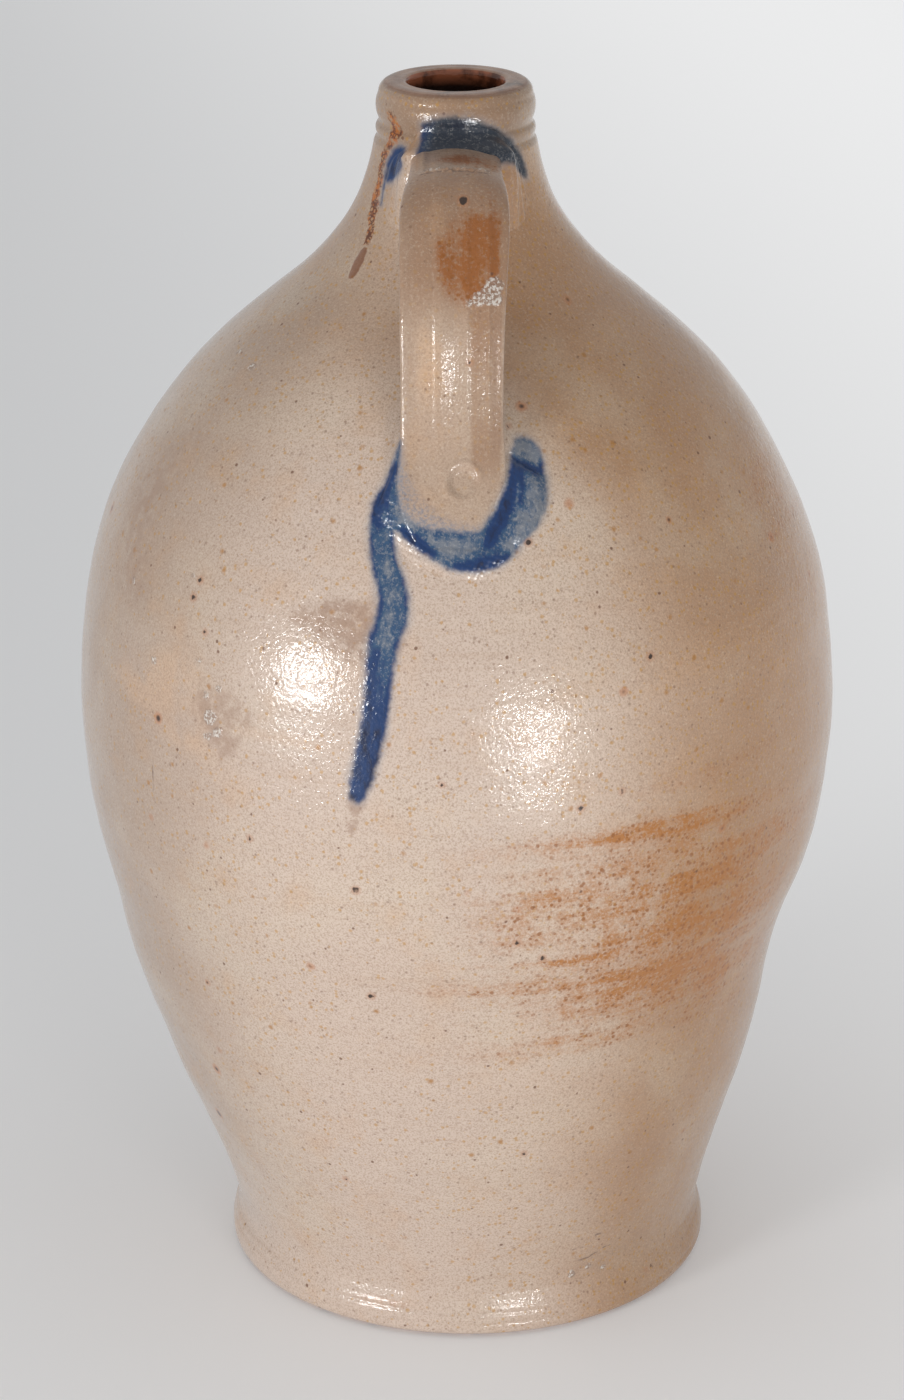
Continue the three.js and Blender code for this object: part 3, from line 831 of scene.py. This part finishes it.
def lower_lute_height(angle, z):
    """The thumbed pad: it banks up to the strap's edges, and its ear and creases hold the cobalt."""
    base = on_jug(angle, z)
    surface = jug_surface(base)
    pad = surface.outline(PAD_OUTLINE)
    ear = surface.outline(EAR_OUTLINE)
    across = base[:, 0] - STRAP_CENTRE
    strap_height, fraction = strap_at(z)
    beyond = np.maximum(across - STRAP_RIGHT(fraction), -across - STRAP_LEFT(fraction))
    grooved = 2.1 * soft_step(-fraction, -0.86, -0.76) * (across > 5)
    bank = np.clip(strap_height - 0.1 - grooved, 0, 4.5) * soft_step(-z, -303, -288)
    bank *= np.exp(-((np.maximum(beyond, 0) / (3.2 + 3.2 * soft_step(-z, -292, -272))) ** 2))
    body = np.maximum(1.1 * soft_step(pad, 0, 6), bank * soft_step(pad, -0.2, 3.5))
    body += 0.9 * soft_step(ear, -0.8, 2.4)
    body -= 0.6 * soft_step(surface.stroke(EAR_CREASE), -0.8, 0.5)
    body -= 0.6 * soft_step(surface.stroke(LEFT_CREASE), -0.8, 0.5)
    body += 0.13 * np.sin(angle * 0.9 + z * 0.55) * np.sin(z * 0.8 - angle * 0.5 + 1)
    body += 0.075 * np.sin(angle * 4.7 + z) * np.sin(z * 3.3 - angle * 1.9)
    under_strap = soft_step(-beyond, 1.2, 3.6) * soft_step(strap_height, 0.6, 1.8)
    body -= under_strap * np.maximum(body - np.maximum(strap_height - 3.8, -1.8), 0)
    edge = soft_step(pad, -1.6, 1.4)
    return np.where(pad > -1.65, (body + 0.03) * edge - 0.14 * (1 - edge), -0.3)


def upper_lute():
    """The clay wiped round the strap's root."""
    angles, heights = np.linspace(-62, 60, 220), np.linspace(338, 374.6, 130)
    return lute_patch("root_lute", angles, heights, upper_lute_height)


def lower_lute():
    """The thumbed pad and ear at the strap's lower end."""
    angles, heights = np.linspace(-18, 21, 200), np.linspace(255, 305, 170)
    return lute_patch("terminal_lute", angles, heights, lower_lute_height)


# ---- materials


def tone(red, green, blue):
    """A display colour of 0 to 255 as the linear colour that the shader takes."""
    display = np.array([red, green, blue]) / 255
    linear = np.where(display <= 0.04045, display / 12.92, ((display + 0.055) / 1.055) ** 2.4)
    return (*linear.tolist(), 1.0)


class Recipe:
    """Builds the nodes of one material."""

    def __init__(self, name):
        self.material = bpy.data.materials.new(name)
        self.material.use_nodes = True
        self.tree = self.material.node_tree
        self.tree.nodes.clear()
        self.place = self.node("ShaderNodeTexCoord").outputs["Object"]
        self.colour = None

    def node(self, kind, settings=None, inputs=None):
        """A node with its settings, and its inputs given as values or as other nodes' outputs."""
        made = self.tree.nodes.new(kind)
        for key, value in (settings or {}).items():
            setattr(made, key, value)
        for key, value in (inputs or {}).items():
            self.feed(made.inputs[key], value)
        return made

    def feed(self, socket, value):
        """Links an output to a socket, or sets the socket's own value."""
        if isinstance(value, bpy.types.NodeSocket):
            self.tree.links.new(value, socket)
        else:
            socket.default_value = value

    def mark(self, name):
        """A value painted on the mesh."""
        settings = {"attribute_name": name, "attribute_type": "GEOMETRY"}
        return self.node("ShaderNodeAttribute", settings).outputs["Fac"]

    def maths(self, operation, first, second=0.0, clamp=False):
        """One sum on one or two values."""
        settings = {"operation": operation, "use_clamp": clamp}
        return self.node("ShaderNodeMath", settings, {0: first, 1: second}).outputs[0]

    def times(self, first, second):
        """The product of two values."""
        return self.maths("MULTIPLY", first, second)

    def plus(self, first, second):
        """The sum of two values."""
        return self.maths("ADD", first, second)

    def between(self, value, low, high, to_low=0.0, to_high=1.0):
        """A smooth rise from to_low to to_high as a value goes from low to high."""
        inputs = {"Value": value, "From Min": low, "From Max": high}
        inputs.update({"To Min": to_low, "To Max": to_high})
        settings = {"interpolation_type": "SMOOTHSTEP"}
        return self.node("ShaderNodeMapRange", settings, inputs).outputs["Result"]

    def mix(self, amount, first, second):
        """One colour over another."""
        inputs = {0: amount, 6: first, 7: second}  # 6 and 7 are the sockets for colours
        return self.node("ShaderNodeMix", {"data_type": "RGBA"}, inputs).outputs[2]

    def coat(self, amount, colour):
        """Lays a display colour over everything painted so far."""
        self.colour = self.mix(amount, self.colour, tone(*colour))

    def finished(self, surface):
        """The material, with the inputs of its one shader."""
        shader = self.node("ShaderNodeBsdfPrincipled", None, surface)
        output = self.node("ShaderNodeOutputMaterial")
        self.tree.links.new(shader.outputs["BSDF"], output.inputs["Surface"])
        return self.material

    def stretched(self, scale):
        """The place on the object, scaled by its own amount along each axis."""
        inputs = {"Vector": self.place, "Scale": scale}
        return self.node("ShaderNodeMapping", None, inputs).outputs["Vector"]

    def noise(self, scale, detail=3.0, roughness=0.55, where=None, distortion=0.0):
        """Cloudy noise, about 0 to 1. Scale is cells to the metre."""
        inputs = {"Scale": scale, "Detail": detail, "Roughness": roughness}
        inputs.update({"Distortion": distortion, "Vector": where or self.place})
        return self.node("ShaderNodeTexNoise", None, inputs).outputs["Fac"]

    def centred(self, scale, detail):
        """Cloudy noise about zero, roughly -0.3 to 0.3."""
        return self.maths("SUBTRACT", self.noise(scale, detail), 0.5)

    def cells(self, scale, feature="F1"):
        """A texture of Voronoi cells. Scale is cells to the metre."""
        inputs = {"Scale": scale, "Vector": self.place}
        return self.node("ShaderNodeTexVoronoi", {"feature": feature}, inputs).outputs

    def specks(self, scale, share, smallest, largest, softness):
        """Scattered specks: one in some of the cells, with radii given in cells."""
        cells = self.cells(scale)
        distance = cells["Distance"]
        parts = self.node("ShaderNodeSeparateColor", None, {"Color": cells["Color"]})
        present = self.maths("LESS_THAN", parts.outputs[0], share)
        radius = self.between(parts.outputs[1], 0.0, 1.0, smallest, largest)
        ragged = self.times(self.centred(scale * 2.6, 2), smallest + largest)
        inside = self.maths("SUBTRACT", radius, self.plus(distance, ragged))
        return self.times(self.between(inside, -softness, softness), present)

    def ragged(self, depth, amount, scale, low=-0.25, high=0.25):
        """0 outside and 1 inside a painted depth, with an edge that wanders by an amount in mm."""
        wander = self.times(self.centred(scale, 4), amount)
        return self.between(self.plus(depth, wander), low, high)


# Freckles: (cells to the metre, share of cells that hold one, smallest radius, largest radius and
# softness in cells, strength, colour). The last two are iron specks' rusty haloes and the specks.
FRECKLES = [
    (520, 0.5, 0.06, 0.22, 0.1, 0.5, (112, 80, 58)),
    (230, 0.3, 0.045, 0.115, 0.04, 0.8, (98, 60, 36)),
    (66, 0.2, 0.07, 0.13, 0.05, 0.55, (172, 104, 50)),
    (66, 0.2, 0.03, 0.075, 0.025, 0.94, (44, 26, 18)),
]


def salt_glaze(name, clay, cool, tan_and_shade_tone, orange, streaks, freckled=1.0, lines=0.04):
    """Salt glaze over stoneware, with every mark that the meshes carry painted into it."""
    recipe = Recipe(name)
    mark, mix, between, noise = recipe.mark, recipe.mix, recipe.between, recipe.noise
    times, plus, ragged, coat = recipe.times, recipe.plus, recipe.ragged, recipe.coat

    # Clay colour: cool left of the handle, tan and painted shade right and upwards, clouded all over.
    clouded_tan_and_shade = plus(mark("warmth"), times(recipe.centred(14, 3), 0.55))
    recipe.colour = mix(between(clouded_tan_and_shade, -0.05, 0.3), tone(*cool), tone(*clay))
    coat(between(clouded_tan_and_shade, 0.2, 0.95), tan_and_shade_tone)
    # The left side is made darker and greyer.
    dusky = times(mark("edge"), between(noise(30, 3), 0.3, 0.7, 0.75, 1.0))
    coat(between(dusky, 0.0, 1.0, 0, 0.8), (156, 134, 116))
    coat(between(noise(24, 4), 0.45, 0.75, 0, 0.3), (204, 190, 170))
    flush = times(mark("peach"), between(noise(90, 4), 0.3, 0.55, 0.4, 1.0))
    coat(between(flush, 0.15, 0.85, 0, 0.42), (206, 166, 128))
    coat(between(noise(9, 3), 0.5, 0.75, 0, 0.25), (170, 146, 132))
    coat(between(noise(60, 4), 0.5, 0.75, 0, 0.3), (190, 150, 112))
    drawn = noise(330, 3, 0.6, recipe.stretched(streaks))
    coat(between(drawn, 0.5, 0.8, 0, 0.2), (172, 140, 112))
    grain = noise(1700, 2, 0.7)
    coat(between(grain, 0.4, 0.7, 0, 0.5), (140, 112, 90))
    coat(between(noise(1200, 2, 0.7), 0.5, 0.75, 0, 0.22), (216, 202, 184))

    # Orange blush: streaks that follow the wheel or the pull, made of dense fine dots.
    broken = between(noise(200, 5, 0.65, recipe.stretched(streaks)), 0.3, 0.7)
    mottled = between(noise(110, 4, 0.65), 0.3, 0.68)
    blush = times(mark("blush"), plus(times(broken, 0.65), 0.3))
    blush = times(blush, plus(times(mottled, 0.7), 0.4))
    sandy = times(blush, between(noise(900, 3, 0.7), 0.3, 0.62, 0.35, 1.0))
    coat(between(sandy, 0.0, 0.6, 0, 0.9), orange)
    dots = times(recipe.specks(620, 0.8, 0.12, 0.4, 0.14), between(blush, 0.02, 0.35))
    coat(times(dots, 0.75), (134, 76, 14))

    # Ochre freckles, thickest where the glaze is tan and absent where it is blushed.
    patchy = between(noise(20, 3), 0.35, 0.65, 0.25, 1.0)
    ochre_share = plus(times(patchy, 0.45), times(clouded_tan_and_shade, 0.45))
    unblushed = recipe.maths("SUBTRACT", freckled, times(blush, freckled), True)
    ochre = recipe.specks(640, ochre_share, 0.1, 0.36, 0.14)
    coat(times(ochre, times(unblushed, 0.55)), (174, 126, 38))
    ochre = recipe.specks(250, times(ochre_share, 0.4), 0.05, 0.2, 0.12)
    coat(times(ochre, times(unblushed, 0.7)), (158, 104, 18))

    # Brown freckles, and iron specks in rusty haloes. The iron specks come last and leave pits.
    for scale, share, smallest, largest, softness, strength, colour in FRECKLES:
        speck = recipe.specks(scale, share, smallest, largest, softness)
        coat(times(speck, strength), colour)

    # Grey-brown kiln marks of flame and soot, and painted shade on the strap.
    shadow = times(mark("shadow"), between(noise(300, 5), 0.3, 0.6, 0.3, 1))
    coat(between(shadow, 0.05, 0.9, 0, 0.7), (146, 116, 96))

    # The iron run: amber dots and dark brown threads, broken up, ending in a dark bead.
    net = recipe.cells(760, "DISTANCE_TO_EDGE")["Distance"]
    run = ragged(mark("iron"), 4.8, 420, -0.5, 0.5)
    threads = times(run, between(net, 0.02, 0.26, 1, 0))
    threads = times(threads, between(noise(300, 2), 0.4, 0.52))
    coat(times(run, 0.45), (158, 106, 40))
    coat(times(times(run, between(noise(620, 2), 0.46, 0.54)), 0.85), (168, 90, 2))
    coat(times(threads, 0.92), (80, 28, 2))
    coat(times(ragged(mark("bead"), 0.9, 420), 0.75), (112, 56, 8))

    # Cobalt: slate where thin, navy where it pooled, feathered and curdled with the clay.
    cobalt = ragged(mark("cobalt"), 2.2, 380, -1.0, 1.1)
    feathered = ragged(mark("cobalt"), 2.4, 240, -2.6, 0.6)
    brushed = noise(380, 5, 0.65, recipe.stretched((1.0, 1.0, 0.35)))
    load = plus(mark("cobalt_load"), times(recipe.maths("SUBTRACT", brushed, 0.5), 1.5))
    blue = mix(between(load, -0.05, 0.35), tone(108, 114, 124), tone(40, 72, 104))
    blue = mix(between(load, 0.3, 0.75), blue, tone(0, 44, 92))
    blue = mix(between(load, 0.85, 1.3), blue, tone(0, 12, 48))
    blue = mix(times(mark("slate"), 0.88), blue, tone(24, 30, 38))
    curd = noise(1100, 3, 0.7)
    curdled = times(between(curd, 0.48, 0.66), between(load, 0.3, 0.75, 0.4, 0.0))
    blue = mix(curdled, blue, tone(160, 156, 154))
    coat(times(feathered, 0.4), (132, 138, 148))
    coat(times(times(mark("wash"), between(curd, 0.36, 0.6, 1.0, 0.15)), 0.62), (104, 118, 138))
    recipe.colour = mix(cobalt, recipe.colour, blue)

    # Blebs with rusty rims, scratches and white crusts lie over everything.
    coat(times(between(mark("bleb"), -1.2, 0.2), 0.4), (164, 98, 48))
    coat(times(ragged(mark("bleb"), 0.9, 700, -0.15, 0.25), 0.95), (40, 26, 20))
    scratch = ragged(mark("scratch"), 0.9, 800, -0.1, 0.25)
    coat(times(scratch, 0.6), (92, 72, 62))
    crust = ragged(mark("crust"), 2.6, 420, -0.3, 0.4)
    coat(times(crust, 0.55), (136, 116, 104))
    coat(times(times(crust, between(noise(1100, 3), 0.45, 0.6)), 0.7), (222, 216, 208))

    # Bare clay on the lip and the base, and brown slip inside, painted near black as shade down the
    # mouth.
    bare_clay = mix(between(noise(160, 4), 0.35, 0.7), tone(170, 136, 114), tone(136, 100, 80))
    bare_clay = mix(between(noise(110, 4), 0.52, 0.66, 0, 0.75), bare_clay, tone(88, 76, 70))
    bare_clay = mix(between(grain, 0.5, 0.7, 0, 0.35), bare_clay, tone(186, 160, 142))
    bare = ragged(mark("bare"), 0.9, 210, 0.3, 0.7)
    recipe.colour = mix(bare, recipe.colour, bare_clay)
    lip_edge = times(mark("bare"), recipe.maths("SUBTRACT", 1.0, mark("bare")))
    coat(between(lip_edge, 0.04, 0.22, 0, 0.5), (118, 80, 56))
    slip = mix(between(noise(160, 4), 0.4, 0.62), tone(168, 98, 66), tone(88, 44, 24))
    # Painted shade: the slip turns near black further down the mouth.
    slip = mix(mark("shade_down_the_mouth"), slip, tone(28, 12, 6))
    recipe.colour = mix(ragged(mark("inside"), 0.5, 150, 0.35, 0.65), recipe.colour, slip)

    # Gloss: wet-looking glaze, duller where it is bare, kiln-marked, painted in shade, crusted or tan.
    dull = times(bare, 0.9)
    for duller in (times(shadow, 0.45), times(crust, 0.8), times(mark("warmth"), 0.15)):
        dull = recipe.maths("MAXIMUM", dull, duller)
    gloss = between(noise(60, 3), 0.3, 0.7, 0.32, 0.46)
    roughness = recipe.maths("ADD", gloss, times(dull, 0.45), True)

    # Relief too fine for the mesh: orange peel, swells, drawn lines, pits and rough patches.
    dimples = noise(760, 2.5, 0.55, distortion=0.4)
    smoothed = recipe.maths("SUBTRACT", 1.0, times(bare, 0.6))
    height = times(times(dimples, smoothed), 0.19)
    height = plus(height, times(noise(120, 2), 0.24))
    height = plus(height, times(drawn, lines))
    height = recipe.maths("SUBTRACT", height, times(speck, 0.06))
    height = recipe.maths("SUBTRACT", height, times(scratch, 0.08))
    height = plus(height, times(times(crust, grain), 0.3))
    height = plus(height, times(times(threads, net), 0.3))
    relief = {"Strength": 1.0, "Distance": MM, "Height": height}
    bump = recipe.node("ShaderNodeBump", None, relief).outputs["Normal"]

    surface = {"Base Color": recipe.colour, "Roughness": roughness, "Normal": bump}
    surface.update({"Specular IOR Level": 0.24, "Coat Weight": 0.8})
    surface.update({"Coat Roughness": 0.06, "Coat Normal": bump})
    return recipe.finished(surface)


# ---- the jug

ROUND_THE_JUG = (0.07, 0.07, 1.0)  # streaks follow the wheel
DOWN_THE_STRAP = (1.0, 0.06, 0.06)  # streaks follow the pull

body_glaze = salt_glaze(
    "body_salt_glaze",
    clay=(200, 179, 162),
    cool=(196, 177, 163),
    tan_and_shade_tone=(166, 126, 90),
    orange=(164, 100, 22),
    streaks=ROUND_THE_JUG,
)
collar_glaze = salt_glaze(
    "collar_salt_glaze",
    clay=(160, 134, 104),
    cool=(150, 126, 102),
    tan_and_shade_tone=(142, 112, 86),
    orange=(140, 88, 34),
    streaks=ROUND_THE_JUG,
)
strap_glaze = salt_glaze(
    "strap_salt_glaze",
    clay=(178, 154, 134),
    cool=(178, 154, 134),
    tan_and_shade_tone=(150, 116, 90),
    orange=(142, 80, 20),
    streaks=DOWN_THE_STRAP,
    freckled=0.35,
    lines=0.2,
)


def bare_marks(points, inside_from):
    """Where the clay is bare, on the lip's flat top and under the base, where slip covers it, and
    painted shade down the mouth.
    """
    x, y, z = points.T
    radius = np.hypot(x - lean(z), y)
    lip_top = soft_step(z, HEIGHT - 2.4, HEIGHT - 0.6) * soft_step(-radius, -22.4, -20)
    base = soft_step(-z, -1.5, -0.8)
    return {
        "bare": np.maximum(lip_top, base),
        "inside": inside_from(radius, z),
        "shade_down_the_mouth": soft_step(HEIGHT - z, 1.8, 5.6),
    }


def within_wall(radius, z):
    """1 on the inside of the wall, 0 on the outside."""
    body = radius < outer_radius(z) - 4
    bore = (radius < MOUTH_RADIUS + 1) & (z > NECK_TOP - 20)
    return ((body & (z > 4)) | bore).astype(float)


def within_mouth(radius, z):
    """1 down the bore of the collar, 0 elsewhere."""
    return soft_step(-radius, -16, -14.6) * (z < HEIGHT - 0.3)


def nowhere(radius, z):
    """0 everywhere."""
    return np.zeros(len(radius))


PIECES = [
    (lower_section, jug_marks, within_wall, ["lower_body"], "body_glaze", body_glaze),
    (upper_section, jug_marks, within_wall, ["upper_body"], "body_glaze", body_glaze),
    (collar, jug_marks, within_mouth, ["mouth_collar"], "collar_glaze", collar_glaze),
    (strap, strap_marks, nowhere, ["handle_strap"], "strap_glaze", strap_glaze),
    (upper_lute, jug_marks, nowhere, ["handle_upper_lute"], "cobalt_glaze", body_glaze),
    (lower_lute, jug_marks, nowhere, ["handle_lower_lute"], "cobalt_glaze", body_glaze),
]

for build, marks_of, inside_from, nodes, slot, material in PIECES:
    piece = build()
    spots = piece_points(piece)
    paint(piece, {**marks_of(spots), **bare_marks(spots, inside_from)})
    settle(piece, nodes, slot, material)


# ---- floor, light and camera


def plain_floor():
    """A pale seamless floor with painted light: it glows, a little brighter away to the right."""
    mesh = bpy.data.meshes.new("floor")
    reach = 14.0
    corners = [(-reach, -reach, 0), (reach, -reach, 0), (reach, reach, 0), (-reach, reach, 0)]
    mesh.from_pydata(corners, [], [(0, 1, 2, 3)])
    floor = bpy.data.objects.new("floor", mesh)
    bpy.context.scene.collection.objects.link(floor)
    recipe = Recipe("pale_paper")
    surface = {"Base Color": tone(227, 228, 229), "Roughness": 0.85}
    surface.update({"Emission Color": painted_floor_light(recipe), "Emission Strength": 1.0})
    mesh.materials.append(recipe.finished(surface))


def painted_floor_light(recipe):
    """Painted light: the paper glows a little everywhere, more away behind on the right."""
    parts = recipe.node("ShaderNodeSeparateXYZ", None, {"Vector": recipe.place}).outputs
    away = recipe.plus(parts["X"], recipe.times(parts["Y"], 0.22))
    return recipe.mix(recipe.between(away, -0.15, 0.75), tone(94, 94, 95), tone(171, 171, 171))


def softbox(name, azimuth, distance, height, width, tall, watts):
    """An oval light that stands round the jug and faces it."""
    data = bpy.data.lights.new(name, "AREA")
    data.shape = "ELLIPSE"
    data.size, data.size_y = width, tall
    data.energy = watts
    light = bpy.data.objects.new(name, data)
    turn = math.radians(azimuth)
    light.location = (distance * math.sin(turn), -distance * math.cos(turn), height)
    aim = Vector((0, 0, 0.22)) - light.location
    light.rotation_euler = aim.to_track_quat("-Z", "Y").to_euler()
    light.visible_camera = False
    bpy.context.scene.collection.objects.link(light)


def studio():
    """Two low softboxes in front of the jug, and an even pale surround."""
    softbox("key_left", -44, 1.7, 0.31, 0.46, 0.32, 12.5)
    softbox("fill_right", 21.5, 1.1, 0.12, 0.34, 0.06, 3)
    world = bpy.data.worlds.new("studio")
    world.use_nodes = True
    background = world.node_tree.nodes["Background"]
    background.inputs["Color"].default_value = (1.0, 1.0, 1.0, 1.0)
    background.inputs["Strength"].default_value = 0.54
    bpy.context.scene.world = world


def photographer():
    """The camera: behind the jug on the handle's side, looking down at it."""
    data = bpy.data.cameras.new("camera")
    data.lens = 106.3
    data.sensor_width = 36
    data.clip_start, data.clip_end = 0.05, 60
    camera = bpy.data.objects.new("camera", data)
    look_down = 21.39
    camera.location = (-0.0017, -1.2012, 0.654)
    camera.rotation_euler = (math.radians(90 - look_down), 0, 0)
    bpy.context.scene.collection.objects.link(camera)
    bpy.context.scene.camera = camera


plain_floor()
studio()
photographer()
bpy.context.scene.view_settings.view_transform = "Standard"
